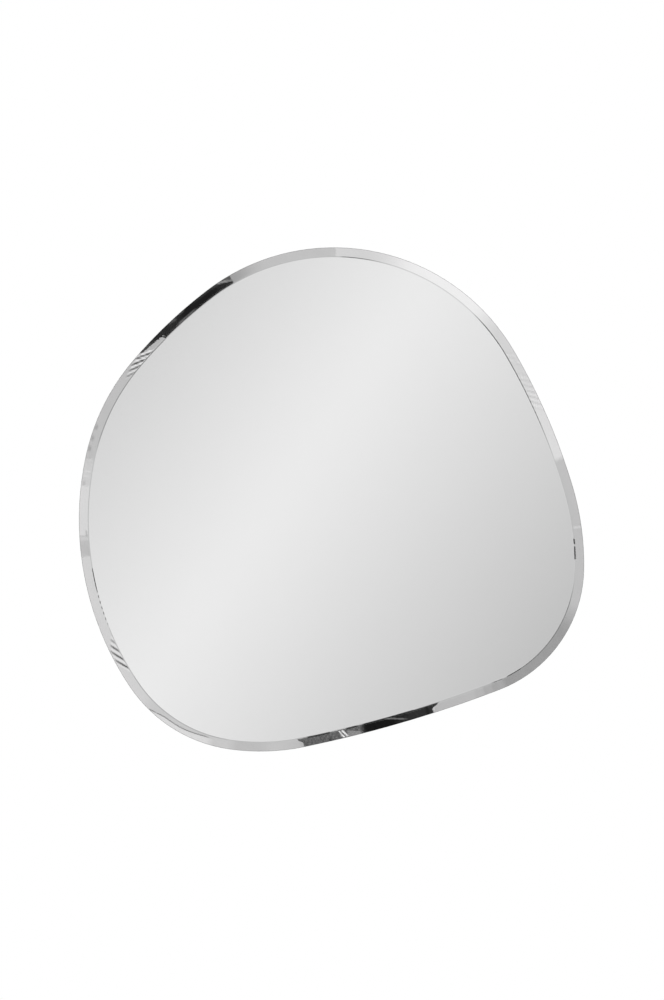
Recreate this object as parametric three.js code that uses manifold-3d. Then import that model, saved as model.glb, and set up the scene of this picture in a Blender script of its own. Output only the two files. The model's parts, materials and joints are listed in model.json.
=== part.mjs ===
// A frameless wall mirror with an irregular rounded outline and a wide polished bevel.
// The silvered glass is taped to a smaller fibreboard back, which carries two D-ring hangers and four rubber
// bumpers. Millimetres, +Z up. The mirror faces -Y. The origin is on the wall plane, where the bumpers rest,
// at the middle of the outline's width and height. Left and right are as seen from the front.

import * as THREE from "three";
import { mergeVertices } from "three/addons/utils/BufferGeometryUtils.js";
import Module from "manifold-3d";

const wasm = await Module();
wasm.setup();

// ---- Driving dimensions ----

const MIRROR_WIDTH = 800; // over the outline's widest part

// The outline is a closed chain of tangent arcs, listed anticlockwise as seen from the front. Each arc has a
// radius and the angle through which it turns. The two heels close the chain, so their radii are worked out,
// and the last arc turns through what is left of the full circle. The chain gives the outline its shape, and
// is then brought to the mirror's width as a whole.
const FIRST_NORMAL = 16.6; // degrees from +X: which way the outline faces where the first arc starts
const OUTLINE_ARCS = [
  { name: "right_flank", radius: 985, turn: 13.6 },
  { name: "crown", radius: 331, turn: 97.1 },
  { name: "left_brow", radius: 750, turn: 12.6 },
  { name: "left_shoulder", radius: 345, turn: 27.8 },
  { name: "left_side", radius: 476, turn: 46.1 },
  { name: "left_heel", turn: 48.2 },
  { name: "under_heel", radius: 349, turn: 19.6 },
  { name: "underside", radius: 1950, turn: 9.5 },
  { name: "right_heel", turn: 67.9 },
  { name: "right_cheek", radius: 434 },
];
const CHORD_TOLERANCE = 0.1; // the most that a facet may lie inside the true arc

const GLASS_THICKNESS = 5;
const BEVEL_WIDTH = 15;
const BEVEL_DROP = 2.2; // glass that the bevel takes off the front at the rim
const RIM_ARRIS = 0.5; // small chamfer along the rim's back edge
const COAT_THICKNESS = 0.2; // silver, copper and protective paint together

const TAPE_THICKNESS = 1.1; // double-sided foam mirror tape
const TAPE_WIDTH = 19;
const TAPE_COUNT = 6;
const TAPE_END_MARGIN = 22; // board left bare past each end of a strip

const BOARD_THICKNESS = 9;
const BOARD_INSET = 40; // the board stops this far inside the glass rim
const BOARD_CHAMFER = 3; // on the board's rear edge

const BUMPER_HEIGHT = 6; // holds the board off the wall, clear of the hangers
const BUMPER_RADIUS = 10; // at the board
const BUMPER_DRAFT = 1; // how much narrower it is at the wall
const BUMPER_ROUNDING = 1.5;
const BUMPER_EDGE_DISTANCE = 28; // from the board's edge to a bumper's centre
const BUMPERS = [
  { name: "bumper_upper_right", normal: 48 },
  { name: "bumper_upper_left", normal: 133 },
  { name: "bumper_lower_left", normal: 232 },
  { name: "bumper_lower_right", normal: 312 },
];

const HANGER_SPACING = 300; // from ring to ring
const HANGER_HEIGHT = 200; // the rings' pivots above the origin
const WIRE_RADIUS = 1.25;
const RING_HALF_WIDTH = 14; // to the wire's centre
const RING_RISE = 18; // from the pivot to the top of the bow, on the wire's centre
const RING_CORNER = 3; // bend radius at the ends of the straight bar
const STRAP_GAUGE = 1; // thickness of the folded steel strip
const STRAP_WIDTH = 16;
const STRAP_LENGTH = 40; // from the pivot to the tail
const STRAP_CORNER = 4; // rounding of the tail in plan
const STRAP_FOLD_GAP = 0.3; // between the strip's two layers
const UPPER_SCREW_DROP = 12; // below the pivot, clear of the S-bend
const LOWER_SCREW_END = 9; // from the tail's end to the lower screw
const SHANK_RADIUS = 1.75;
const SHANK_LENGTH = 9.5; // under the head
const POINT_LENGTH = 2.5; // tapered end of the shank
const HEAD_RADIUS = 3.4;
const HEAD_HEIGHT = 2;
const HEAD_RIM = 0.7; // straight side of the pan head
const RECESS_LENGTH = 3.6; // of the cross recess, over its arms
const RECESS_WIDTH = 0.8;
const RECESS_DEPTH = 1.1;

const CLEARANCE = 0.3; // round what turns in, passes through or comes to rest on another piece
const CUT_PAST = 1; // how far a cutting shape runs past what it cuts

// ---- Layers, from the wall to the front ----

const boardBack = -BUMPER_HEIGHT;
const boardFront = boardBack - BOARD_THICKNESS;
const tapeFront = boardFront - TAPE_THICKNESS;
const glassBack = tapeFront - COAT_THICKNESS;
const glassFront = glassBack - GLASS_THICKNESS;

// ---- Materials ----

const material = (color, roughness, metalness) =>
  new THREE.MeshStandardMaterial({ color, roughness, metalness });
const finishes = {
  mirror: material(0xe9ebea, 0.03, 1),
  paint: material(0x7d8480, 0.55, 0),
  foam: material(0xd9d9d4, 0.85, 0),
  fibreboard: material(0xb48f66, 0.8, 0),
  zinc: material(0xb9bcc0, 0.35, 1),
  rubber: material(0x2b2b2b, 0.75, 0),
};

// ---- The outline ----

const radians = THREE.MathUtils.degToRad;
const facing = (normal) => new THREE.Vector2(Math.cos(normal), Math.sin(normal));

// Gives every arc its start and end directions, its centre, and the two missing radii.
function chainOfArcs() {
  const chain = OUTLINE_ARCS.map((arc) => ({ ...arc }));
  const given = chain.reduce((sum, arc) => sum + (arc.turn ?? 0), 0);
  let normal = radians(FIRST_NORMAL);
  for (const arc of chain) {
    arc.from = normal;
    arc.to = normal + radians(arc.turn ?? 360 - given);
    arc.chord = facing(arc.to).sub(facing(arc.from)); // for a radius of 1
    normal = arc.to;
  }
  // The chords of a closed chain add up to nothing, which gives the two radii that close it.
  const open = new THREE.Vector2();
  for (const arc of chain) open.addScaledVector(arc.chord, arc.radius ?? 0);
  const [first, second] = chain.filter((arc) => !arc.radius);
  const determinant = first.chord.cross(second.chord);
  first.radius = -open.cross(second.chord) / determinant;
  second.radius = open.cross(first.chord) / determinant;
  const end = new THREE.Vector2();
  for (const arc of chain) {
    arc.centre = end.clone().addScaledVector(facing(arc.from), -arc.radius);
    end.copy(arc.centre).addScaledVector(facing(arc.to), arc.radius);
  }
  return chain;
}

const arcs = chainOfArcs();

// The point where the outline faces the given direction, moved straight in by inset. Arcs about the same
// centres with smaller radii are an exact parallel curve.
function outlinePoint(normal, inset = 0) {
  const start = arcs[0].from;
  const turn = THREE.MathUtils.euclideanModulo(normal - start, 2 * Math.PI);
  const arc = arcs.find((a) => start + turn < a.to) ?? arcs[arcs.length - 1];
  return arc.centre.clone().addScaledVector(facing(normal), arc.radius - inset);
}

// The chain is brought to the mirror's width, and its width and height are centred on the origin.
const growth = MIRROR_WIDTH / (outlinePoint(0).x - outlinePoint(Math.PI).x);
for (const arc of arcs) {
  arc.radius *= growth;
  arc.centre.multiplyScalar(growth);
}
const middle = new THREE.Vector2(
  (outlinePoint(0).x + outlinePoint(Math.PI).x) / 2,
  (outlinePoint(Math.PI / 2).y + outlinePoint(-Math.PI / 2).y) / 2,
);
for (const arc of arcs) arc.centre.sub(middle);

// The directions at the facets' corners, closer together where the outline bends tightly.
const cornerNormals = arcs.flatMap((arc) => {
  const step = 2 * Math.acos(1 - CHORD_TOLERANCE / arc.radius);
  const count = Math.ceil((arc.to - arc.from) / step);
  return Array.from({ length: count }, (_, i) => arc.from + ((arc.to - arc.from) * i) / count);
});
const outlineRing = (inset) => cornerNormals.map((normal) => outlinePoint(normal, inset));

// The centre of gravity of the plate. The hangers stand either side of it, so the mirror hangs level.
function centreOfArea(points) {
  const sum = new THREE.Vector2();
  points.forEach((p, i) => {
    const q = points[(i + 1) % points.length];
    sum.addScaledVector(p.clone().add(q), p.cross(q) / 6);
  });
  return sum.divideScalar(THREE.ShapeUtils.area(points));
}
const balance = centreOfArea(outlineRing(0));

// The lowest and the highest point of the board's edge on an upright line.
function boardSpan(x) {
  const points = outlineRing(BOARD_INSET);
  const heights = points.flatMap((p, i) => {
    const q = points[(i + 1) % points.length];
    const share = (x - p.x) / (q.x - p.x);
    return share >= 0 && share < 1 ? [p.y + (q.y - p.y) * share] : [];
  });
  return { low: Math.min(...heights), high: Math.max(...heights) };
}

// ---- Shapes ----

// A plate whose edge profile is carried round the outline. The profile runs from front to back as
// [inset from the rim, y], and flat faces close its first and last stations.
function plate(profile) {
  const rings = profile.map(([inset, y]) => outlineRing(inset).map((p) => [p.x, y, p.y]));
  const count = cornerNormals.length;
  const faces = [];
  for (let front = 0; front < (rings.length - 1) * count; front += count) {
    const back = front + count;
    for (let i = 0; i < count; i += 1) {
      const next = (i + 1) % count;
      faces.push(front + i, back + i, back + next);
      faces.push(front + i, back + next, front + next);
    }
  }
  const last = (rings.length - 1) * count;
  for (const [a, b, c] of THREE.ShapeUtils.triangulateShape(outlineRing(profile[0][0]), [])) {
    faces.push(a, b, c, last + a, last + c, last + b);
  }
  const geometry = new THREE.BufferGeometry();
  geometry.setAttribute("position", new THREE.Float32BufferAttribute(rings.flat(2), 3));
  geometry.setIndex(faces);
  geometry.computeVertexNormals();
  return geometry;
}

// A profile turned about the Y axis, given as [radius, y] from the axis round to the axis.
const turned = (profile) =>
  new THREE.LatheGeometry(
    profile.map(([radius, y]) => new THREE.Vector2(radius, y)),
    24,
  );

// Quarter of an ellipse as [radius, y], from facing outwards to facing along the axis.
const quarterRound = (radius, y, width, height, steps) =>
  Array.from({ length: steps + 1 }, (_, i) => {
    const edge = facing((Math.PI / 2) * (i / steps));
    return [radius + width * edge.x, y + height * edge.y];
  });

// A flat shape drawn in (x, z) and carried along y, from one y to another.
const slab = (shape, fromY, toY) =>
  new THREE.ExtrudeGeometry(shape, { depth: toY - fromY, bevelEnabled: false, curveSegments: 4 })
    .rotateX(Math.PI / 2)
    .translate(0, toY, 0);

// A flat shape drawn in (z, y) and carried along x, centred on x = 0.
const strip = (shape, width) =>
  new THREE.ExtrudeGeometry(shape, { depth: width, bevelEnabled: false })
    .rotateY(-Math.PI / 2)
    .translate(width / 2, 0, 0);

// From a three.js geometry to a solid that can be cut, and back.
function toSolid(geometry) {
  const bare = geometry.clone().deleteAttribute("normal").deleteAttribute("uv");
  const merged = mergeVertices(bare, 1e-4);
  const vertProperties = merged.attributes.position.array;
  const triVerts = new Uint32Array(merged.index.array);
  return new wasm.Manifold(new wasm.Mesh({ numProp: 3, vertProperties, triVerts }));
}

function toGeometry(solid) {
  const { vertProperties, triVerts } = solid.getMesh();
  const geometry = new THREE.BufferGeometry();
  geometry.setAttribute("position", new THREE.BufferAttribute(vertProperties, 3));
  geometry.setIndex(new THREE.BufferAttribute(triVerts, 1));
  geometry.computeVertexNormals();
  return geometry;
}

// Cuts round holes along Y, each given as {x, z, radius}, from one y to another.
function drill(geometry, holes, fromY, toY) {
  let solid = toSolid(geometry);
  for (const { x, z, radius } of holes) {
    const drillBit = new THREE.CylinderGeometry(radius, radius, toY - fromY, 24);
    solid = solid.subtract(toSolid(drillBit.translate(x, (fromY + toY) / 2, z)));
  }
  return toGeometry(solid);
}

// ---- Glass, coat and tape ----

// Float glass: a flat face, the bevel falling to a thin rim, and a small arris behind.
const mirrorGlass = () =>
  plate([
    [BEVEL_WIDTH, glassFront],
    [0, glassFront + BEVEL_DROP],
    [0, glassBack - RIM_ARRIS],
    [RIM_ARRIS, glassBack],
  ]);

const silverCoat = () =>
  plate([
    [RIM_ARRIS, glassBack],
    [RIM_ARRIS, tapeFront],
  ]);

// An upright strip of tape, as long as the board allows at its place.
function mountingTape(x) {
  const left = boardSpan(x - TAPE_WIDTH / 2);
  const right = boardSpan(x + TAPE_WIDTH / 2);
  const bottom = Math.max(left.low, right.low) + TAPE_END_MARGIN;
  const top = Math.min(left.high, right.high) - TAPE_END_MARGIN;
  const geometry = new THREE.BoxGeometry(TAPE_WIDTH, TAPE_THICKNESS, top - bottom);
  return geometry.translate(x, boardFront - TAPE_THICKNESS / 2, (top + bottom) / 2);
}

// ---- Hanger ----
// Its own frame stands on the board's back: x across, y out from the board, z up, with the ring's pivot at
// z = 0. The steel strip lies flat on the board, loops round the ring's bar, and comes back down through an
// S-bend to lie over its own lower layer, under the screws' heads.

const loopRadius = WIRE_RADIUS + CLEARANCE + STRAP_GAUGE / 2; // to the middle of the strip
const pivotOut = loopRadius + STRAP_GAUGE / 2;
const upperLayer = STRAP_GAUGE + STRAP_FOLD_GAP + STRAP_GAUGE / 2; // the middle of the upper layer
const strapTop = upperLayer + STRAP_GAUGE / 2;
const screwHoleRadius = SHANK_RADIUS + CLEARANCE;
const pilotDepth = SHANK_LENGTH - strapTop + CLEARANCE;
const screws = [
  { place: "upper", below: UPPER_SCREW_DROP }, // below the pivot
  { place: "lower", below: STRAP_LENGTH - LOWER_SCREW_END },
];
const ringLean = Math.asin((pivotOut - WIRE_RADIUS - CLEARANCE) / RING_RISE); // at rest against the board

// Points along the middle of the folded strip, as (z, y), with the direction in which the strip runs there:
// up the lower layer, round the loop, through the S-bend and down the upper layer.
function foldedLine() {
  const bend = Math.acos(1 - (pivotOut + loopRadius - upperLayer) / (2 * loopRadius));
  const foot = new THREE.Vector2(-2 * loopRadius * Math.sin(bend), upperLayer + loopRadius);
  const line = [{ at: new THREE.Vector2(-STRAP_LENGTH, STRAP_GAUGE / 2), heading: 0 }];
  const arc = (centre, radius, from, to, steps) => {
    for (let i = 0; i <= steps; i += 1) {
      const heading = from + ((to - from) * i) / steps;
      const at = centre.clone().addScaledVector(facing(heading - Math.PI / 2), radius);
      line.push({ at, heading });
    }
  };
  arc(new THREE.Vector2(0, pivotOut), loopRadius, 0, Math.PI + bend, 22);
  line.pop(); // the S-bend starts at this same point
  arc(foot, -loopRadius, Math.PI + bend, Math.PI, 6);
  line.push({ at: new THREE.Vector2(-STRAP_LENGTH, upperLayer), heading: Math.PI });
  return line;
}

function hangerStrap() {
  const line = foldedLine();
  const side = (offset) =>
    line.map(({ at, heading }) => at.clone().addScaledVector(facing(heading + Math.PI / 2), offset));
  const section = new THREE.Shape([...side(-STRAP_GAUGE / 2), ...side(STRAP_GAUGE / 2).reverse()]);
  // Seen from behind, the tail has round corners.
  const half = STRAP_WIDTH / 2;
  const reach = pivotOut + CUT_PAST;
  const corner = [half - STRAP_CORNER, STRAP_CORNER - STRAP_LENGTH];
  const plan = new THREE.Shape();
  plan.moveTo(half, reach);
  plan.lineTo(-half, reach);
  plan.absarc(-corner[0], corner[1], STRAP_CORNER, Math.PI, 1.5 * Math.PI);
  plan.absarc(corner[0], corner[1], STRAP_CORNER, 1.5 * Math.PI, 2 * Math.PI);
  const blank = toSolid(strip(section, STRAP_WIDTH));
  const shaped = blank.intersect(toSolid(slab(plan, -CUT_PAST, 2 * pivotOut + CUT_PAST)));
  const holes = screws.map(({ below }) => ({ x: 0, z: -below, radius: screwHoleRadius }));
  return drill(toGeometry(shaped), holes, -CUT_PAST, strapTop + CUT_PAST);
}

// The D of bent wire, drawn upright round its pivot: the straight bar, two tight corners and the bow.
class RingLine extends THREE.Curve {
  constructor() {
    super();
    const corner = RING_HALF_WIDTH - RING_CORNER;
    this.path = new THREE.Path();
    this.path.moveTo(0, 0);
    this.path.absarc(corner, RING_CORNER, RING_CORNER, -Math.PI / 2, 0);
    this.path.absarc(0, RING_RISE - RING_HALF_WIDTH, RING_HALF_WIDTH, 0, Math.PI);
    this.path.absarc(-corner, RING_CORNER, RING_CORNER, Math.PI, 1.5 * Math.PI);
    this.path.closePath();
  }

  getPoint(share) {
    const { x, y } = this.path.getPointAt(share);
    return new THREE.Vector3(x, 0, y);
  }
}

const hangerRing = () => new THREE.TubeGeometry(new RingLine(), 64, WIRE_RADIUS, 12, true);

// A pan head wood screw with a cross recess. Its origin is under the head, which faces +Y.
function hangerScrew() {
  const profile = [
    [0, -SHANK_LENGTH],
    [SHANK_RADIUS, POINT_LENGTH - SHANK_LENGTH],
    [SHANK_RADIUS, 0],
    [HEAD_RADIUS, 0],
    ...quarterRound(0, HEAD_RIM, HEAD_RADIUS, HEAD_HEIGHT - HEAD_RIM, 5),
  ];
  let solid = toSolid(turned(profile));
  for (const [x, z] of [[RECESS_LENGTH, RECESS_WIDTH], [RECESS_WIDTH, RECESS_LENGTH]]) {
    const slot = new THREE.BoxGeometry(x, RECESS_DEPTH + CUT_PAST, z);
    slot.translate(0, HEAD_HEIGHT + (CUT_PAST - RECESS_DEPTH) / 2, 0);
    solid = solid.subtract(toSolid(slot));
  }
  return toGeometry(solid);
}

// ---- Board and bumpers ----

const hangers = ["left", "right"].map((side) => {
  const x = balance.x + (side === "left" ? -HANGER_SPACING / 2 : HANGER_SPACING / 2);
  return { side, x, z: HANGER_HEIGHT };
});

// Fibreboard with a chamfered rear edge and a blind pilot hole for every screw.
function backingBoard() {
  const blank = plate([
    [BOARD_INSET, boardFront],
    [BOARD_INSET, boardBack - BOARD_CHAMFER],
    [BOARD_INSET + BOARD_CHAMFER, boardBack],
  ]);
  const holes = hangers.flatMap(({ x, z }) =>
    screws.map(({ below }) => ({ x, z: z - below, radius: screwHoleRadius })),
  );
  return drill(blank, holes, boardBack - pilotDepth, boardBack + CUT_PAST);
}

// A round rubber foot standing on y = 0.
const bumper = () =>
  turned([
    [0, 0],
    [BUMPER_RADIUS, 0],
    ...quarterRound(
      BUMPER_RADIUS - BUMPER_DRAFT - BUMPER_ROUNDING,
      BUMPER_HEIGHT - BUMPER_ROUNDING,
      BUMPER_ROUNDING,
      BUMPER_ROUNDING,
      4,
    ),
    [0, BUMPER_HEIGHT],
  ]);

// ---- Assembly ----

function piece(name, geometry, finish) {
  const mesh = new THREE.Mesh(geometry, finish);
  mesh.name = name;
  return mesh;
}

function hanger(side) {
  const group = new THREE.Group();
  group.add(piece(`hanger_strap_${side}`, hangerStrap(), finishes.zinc));
  const ring = piece(`hanger_ring_${side}`, hangerRing(), finishes.zinc);
  ring.position.y = pivotOut;
  ring.rotation.x = ringLean;
  group.add(ring);
  for (const { place, below } of screws) {
    const screw = piece(`hanger_screw_${side}_${place}`, hangerScrew(), finishes.zinc);
    screw.position.set(0, strapTop, -below);
    group.add(screw);
  }
  return group;
}

const mirror = new THREE.Group();
mirror.add(piece("mirror_glass", mirrorGlass(), finishes.mirror));
mirror.add(piece("silver_coat", silverCoat(), finishes.paint));
mirror.add(piece("backing_board", backingBoard(), finishes.fibreboard));

// The strips of tape are spread evenly over the board's width.
const boardLeft = outlinePoint(Math.PI, BOARD_INSET).x;
const boardRight = outlinePoint(0, BOARD_INSET).x;
for (let i = 0; i < TAPE_COUNT; i += 1) {
  const x = THREE.MathUtils.lerp(boardLeft, boardRight, (i + 0.5) / TAPE_COUNT);
  mirror.add(piece(`mounting_tape_${i + 1}`, mountingTape(x), finishes.foam));
}

for (const { side, x, z } of hangers) {
  const group = hanger(side);
  group.position.set(x, boardBack, z);
  mirror.add(group);
}

for (const { name, normal } of BUMPERS) {
  const place = outlinePoint(radians(normal), BOARD_INSET + BUMPER_EDGE_DISTANCE);
  const foot = piece(name, bumper(), finishes.rubber);
  foot.position.set(place.x, boardBack, place.y);
  mirror.add(foot);
}

export default mirror;
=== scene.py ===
# %% [markdown]
# # A frameless mirror with an irregular rounded outline
#
# The real object is one sheet of float glass, silvered behind, with a wide bevel ground and polished round
# its front edge. Behind it sit a fibreboard back, foam tape, two D-ring hangers and four rubber bumpers. The
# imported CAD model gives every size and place, and this lesson dresses it. The glass becomes real glass with
# silver behind it, and all that it shows is the studio, so the studio is half of the work. Everything is in
# metres, the mirror faces -Y and its wall plane is y = 0.

# %% Load the fixed frame
import json
import math

import bpy
import numpy as np
from mathutils import Matrix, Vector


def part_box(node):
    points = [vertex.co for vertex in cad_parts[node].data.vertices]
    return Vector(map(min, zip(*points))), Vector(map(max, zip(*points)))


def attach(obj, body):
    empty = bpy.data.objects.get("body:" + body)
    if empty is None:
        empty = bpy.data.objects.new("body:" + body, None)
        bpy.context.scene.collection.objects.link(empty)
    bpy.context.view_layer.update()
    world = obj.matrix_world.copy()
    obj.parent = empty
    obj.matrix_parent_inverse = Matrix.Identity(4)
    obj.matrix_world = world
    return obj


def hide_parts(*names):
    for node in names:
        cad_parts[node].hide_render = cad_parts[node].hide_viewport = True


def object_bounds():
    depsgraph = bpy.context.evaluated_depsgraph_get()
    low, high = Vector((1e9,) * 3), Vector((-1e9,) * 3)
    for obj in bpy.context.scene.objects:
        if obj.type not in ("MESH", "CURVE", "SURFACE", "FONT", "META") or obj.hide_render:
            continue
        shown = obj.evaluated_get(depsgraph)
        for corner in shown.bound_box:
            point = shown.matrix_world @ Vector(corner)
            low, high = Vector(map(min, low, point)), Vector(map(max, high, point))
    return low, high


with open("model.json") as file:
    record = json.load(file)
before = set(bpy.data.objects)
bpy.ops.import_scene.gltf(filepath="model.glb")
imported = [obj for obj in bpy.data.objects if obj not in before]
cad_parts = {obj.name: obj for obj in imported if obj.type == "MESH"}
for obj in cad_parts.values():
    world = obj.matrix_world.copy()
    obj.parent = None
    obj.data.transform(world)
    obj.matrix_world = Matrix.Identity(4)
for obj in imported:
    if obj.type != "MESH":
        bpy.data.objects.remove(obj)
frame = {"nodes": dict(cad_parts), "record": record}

cad_low, cad_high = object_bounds()
nodes = frame["nodes"]
MM = 0.001
print("CAD box in mm:", [round((b - a) / MM, 1) for a, b in zip(cad_low, cad_high)])


def placed(name, data):
    """A new object at the origin of the scene, made of this mesh, camera or lamp."""
    made = bpy.data.objects.new(name, data)
    bpy.context.collection.objects.link(made)
    return made


# %% [markdown]
# ## Camera
#
# The photograph looks straight at the mirror from far away: its outline shows no foreshortening. A long lens
# from 24 m gives the same flat view. The mirror's 800 mm cover 505 of the image's 664 by 1000 pixels, which
# fixes the lens. A sensor's width lies along the picture's longer side.

# %% The camera
PICTURE = (664, 1000)  # pixels
MIRROR_CENTRE = (331.54, 499.42)  # pixels
MM_PER_PIXEL = 1.5835
DISTANCE = 24.0  # m, from the camera to the glass
SENSOR = 36.0  # mm

glass_front = cad_low.y
camera = placed("camera", bpy.data.cameras.new("camera"))
camera.data.sensor_width = SENSOR
camera.data.lens = SENSOR * DISTANCE / (PICTURE[1] * MM_PER_PIXEL * MM)
camera.data.clip_end = 100
camera.location = (
    (PICTURE[0] / 2 - MIRROR_CENTRE[0]) * MM_PER_PIXEL * MM,
    glass_front - DISTANCE,
    (MIRROR_CENTRE[1] - PICTURE[1] / 2) * MM_PER_PIXEL * MM,
)
camera.rotation_euler = (math.pi / 2, 0, 0)
bpy.context.scene.camera = camera
bpy.context.scene.view_settings.view_transform = "Standard"
print("lens in mm:", round(camera.data.lens, 1))

# %% [markdown]
# ## Shader sums written as sums
#
# A material is a formula, and written as Python expressions it stays short and can be read. The class below
# wraps one output of a node tree. Adding, taking away, multiplying or dividing adds the Math node that does
# it, and one method makes every other kind of node.


# %% A wrapper for shader sockets
class Wire:
    """One output of a shader tree. Sums of wires and numbers add Math nodes to the tree."""

    def __init__(self, tree, out=None):
        self.tree, self.out = tree, out

    def node(self, kind, settings=None, inputs=None, out=0):
        """Makes a node: its settings are set first, then its sockets get values or links."""
        made = self.tree.nodes.new("ShaderNode" + kind)
        for name, value in (settings or {}).items():
            setattr(made, name, value)
        for name, value in (inputs or {}).items():
            if isinstance(value, Wire):
                self.tree.links.new(value.out, made.inputs[name])
            else:
                made.inputs[name].default_value = value
        return Wire(self.tree, made.outputs[out] if made.outputs else None)

    def parts(self):
        """The x, y and z of this vector."""
        split = self.node("SeparateXYZ", inputs={0: self}).out.node
        return [Wire(self.tree, number) for number in split.outputs]

    def math(self, operation, *others):
        return self.node("Math", {"operation": operation}, dict(enumerate((self, *others))))

    def __add__(self, other):
        return self.math("ADD", other)

    __radd__ = __add__

    def __mul__(self, other):
        return self.math("MULTIPLY", other)

    __rmul__ = __mul__

    def __sub__(self, other):
        return self.math("SUBTRACT", other)

    def __rsub__(self, other):
        return self.node("Math", {"operation": "SUBTRACT"}, {0: other, 1: self})

    def __truediv__(self, other):
        return self.math("DIVIDE", other)

    def rise(self, low, high, start=0.0, end=1.0):
        """start below low, end above high and a smooth S between them."""
        sockets = {"Value": self, "From Min": low, "From Max": high, "To Min": start, "To Max": end}
        return self.node("MapRange", {"interpolation_type": "SMOOTHSTEP"}, sockets)

    def fall(self, low, high):
        """1 below low, 0 above high and a smooth S between them."""
        return self.rise(low, high, 1.0, 0.0)

    def between(self, first, last, soft=1.0, soft_end=None):
        """1 between first and last and 0 outside, with ends that are this soft."""
        soft_end = soft if soft_end is None else soft_end
        inside = self.rise(first - soft / 2, first + soft / 2)
        return inside * self.fall(last - soft_end / 2, last + soft_end / 2)

    def mix(self, other, share):
        """self where share is 0 and other where it is 1. Both are numbers."""
        return self.node("Mix", {"data_type": "FLOAT"}, {0: share, 2: self, 3: other})

    def blend(self, a, b, share):
        """Colour a where share is 0 and colour b where it is 1."""
        return self.node("Mix", {"data_type": "RGBA"}, {"Factor": share, 6: a, 7: b}, 2)


def paper(owner):
    """An emptied node tree of a material or the world, as a wire to start from."""
    owner.use_nodes = True
    owner.node_tree.nodes.clear()
    return Wire(owner.node_tree)


def new_finish(name):
    """A new material, and its emptied tree as a wire to start from."""
    made = bpy.data.materials.new(name)
    return made, paper(made)


def solid_finish(start, base, roughness, height, metallic=0.0):
    """A surface of this colour and roughness, embossed by a height in metres."""
    relief = start.node("Bump", inputs={"Height": height, "Distance": 1.0})
    sockets = {"Base Color": base, "Roughness": roughness, "Metallic": metallic, "Normal": relief}
    start.node("OutputMaterial", inputs={"Surface": start.node("BsdfPrincipled", inputs=sockets)})


def linear(tone):
    """The light that a screen gives for a grey of 0 to 255."""
    share = tone / 255
    return share / 12.92 if share <= 0.04045 else ((share + 0.055) / 1.055) ** 2.4


def coloured(a, b, share):
    """Two colours as a screen shows them (0 to 255), mixed by a share. The first may be a wire already."""
    pair = [c if isinstance(c, Wire) else (*map(linear, c), 1) for c in (a, b)]
    return share.blend(*pair, share)


print("a screen's 128 is", round(linear(128), 3), "of white")

# %% [markdown]
# ## The outline
#
# The mirror's edge is a closed chain of ten tangent arcs. It could be a spline, but arcs have a gift: the
# same centres with smaller radii give an exact parallel curve, so the bevel's inner edge, the rim and the
# board's edge all come from one list. A point of the outline is named by the way it faces, in degrees
# anticlockwise from the right as seen from the front. Two radii are left open and follow from the chain
# having to close.

# %% A chain of arcs
FIRST_NORMAL = 16.6
ARC_RADII = (985, 331, 750, 345, 476, None, 349, 1950, None, 434)
ARC_TURNS = (13.6, 97.1, 12.6, 27.8, 46.1, 48.2, 19.6, 9.5, 67.9)
MIRROR_WIDTH = 800 * MM


def facing(normal):
    """Unit vectors (x, z) at these angles in radians."""
    return np.stack([np.cos(normal), np.sin(normal)], -1)


def full_turn(count):
    """This many even angles round a circle, in radians."""
    return 2 * np.pi * np.arange(count) / count


def chain_of_arcs():
    """Where each arc starts (radians), its radius and its centre, in metres, with the chain centred.

    The arcs' chords add up to nothing, which gives the two open radii. Each centre lies one radius behind the
    point where the arc before it ended."""
    turns = np.radians([*ARC_TURNS, 360 - sum(ARC_TURNS)])
    starts = math.radians(FIRST_NORMAL) + np.concatenate([[0], np.cumsum(turns)])
    chords = np.diff(facing(starts), axis=0)
    radii = np.array([r or 0 for r in ARC_RADII], float)
    open_arcs = np.flatnonzero(radii == 0)
    radii[open_arcs] = np.linalg.solve(chords[open_arcs].T, -(radii @ chords))
    ends = np.concatenate([[[0, 0]], np.cumsum(chords * radii[:, None], axis=0)])[:-1]
    centres = ends - facing(starts[:-1]) * radii[:, None]
    return starts, radii, centres


arc_starts, arc_radii, arc_centres = chain_of_arcs()


def arc_of(turn):
    """The number of the arc that faces each of these angles, counted on from the first arc's start."""
    return np.clip(np.searchsorted(arc_starts, turn, "right") - 1, 0, len(arc_radii) - 1)


def outline(normal, inset=0.0):
    """The outline's points (x, z) that face these angles, moved straight in by inset.

    A point is its arc's centre plus the arc's radius, less the inset, along the angle it faces."""
    arc = arc_of((normal - arc_starts[0]) % (2 * np.pi) + arc_starts[0])
    return arc_centres[arc] + facing(normal) * (arc_radii[arc] - inset)[..., None]


right, top, left, bottom = outline(np.radians([0, 90, 180, 270]))
growth = MIRROR_WIDTH / (right[0] - left[0])
arc_radii *= growth
arc_centres = (arc_centres - [(right[0] + left[0]) / 2, (top[1] + bottom[1]) / 2]) * growth
arc_lengths = np.concatenate([[0], np.cumsum(arc_radii * np.diff(arc_starts))])
print("radii in mm:", np.round(arc_radii / MM, 1), "rim length in mm:", round(arc_lengths[-1] / MM))

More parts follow.
